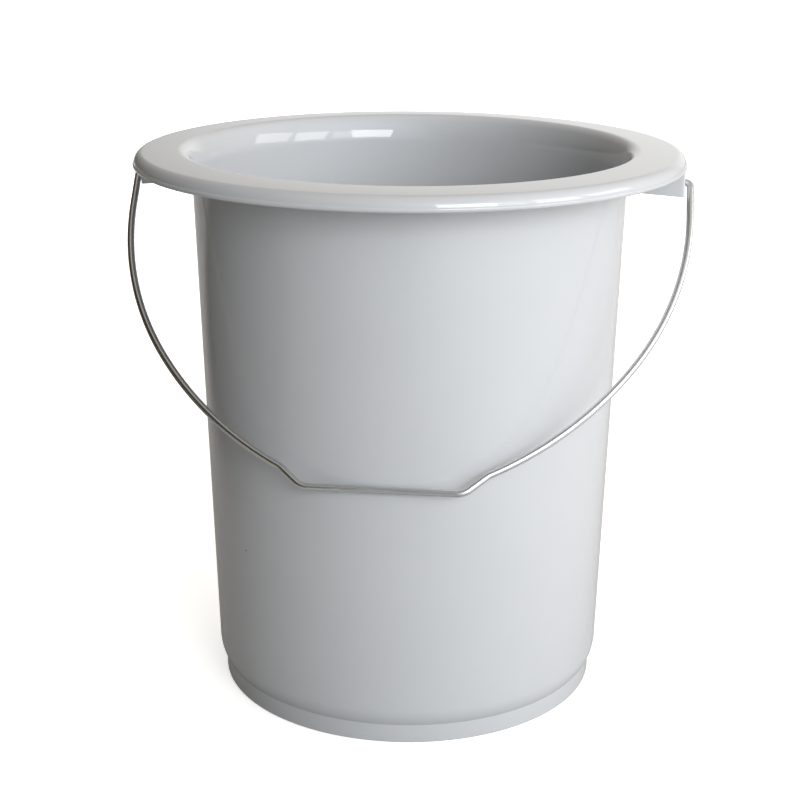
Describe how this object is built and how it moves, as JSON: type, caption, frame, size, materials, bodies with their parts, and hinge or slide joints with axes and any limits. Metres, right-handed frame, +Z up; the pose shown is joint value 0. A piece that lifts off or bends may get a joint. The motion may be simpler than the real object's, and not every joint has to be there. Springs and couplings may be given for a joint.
{
  "type": "sanitary bucket",
  "caption": "Round light grey plastic bucket with a tapered wall, wide rolled rim, foot ring and moulded ears that hold a swinging bail of bent wire, for carrying liquids.",
  "frame": {"origin": "on the bucket's axis, on the ground that the foot ring stands on", "axes": "+Z up along the bucket's axis, X along the line that the bail turns about, -Y towards the side that the bail hangs on"},
  "size_m": [0.3072, 0.2988, 0.3056],
  "materials": {
    "moulded_polypropylene": "satin gloss, as moulded",
    "galvanised_wire": "bright drawn wire with a thin zinc coat"
  },
  "bodies": {
    "bucket": {"bucket": "moulded_polypropylene"},
    "bail": {"bail": "galvanised_wire"}
  },
  "joints": [
    {"name": "bail_swing", "type": "hinge", "parent": "bucket", "child": "bail", "pos_m": [0, 0, 0.288], "axis": [-1, 0, 0], "range_deg": [0, 280.5]}
  ]
}
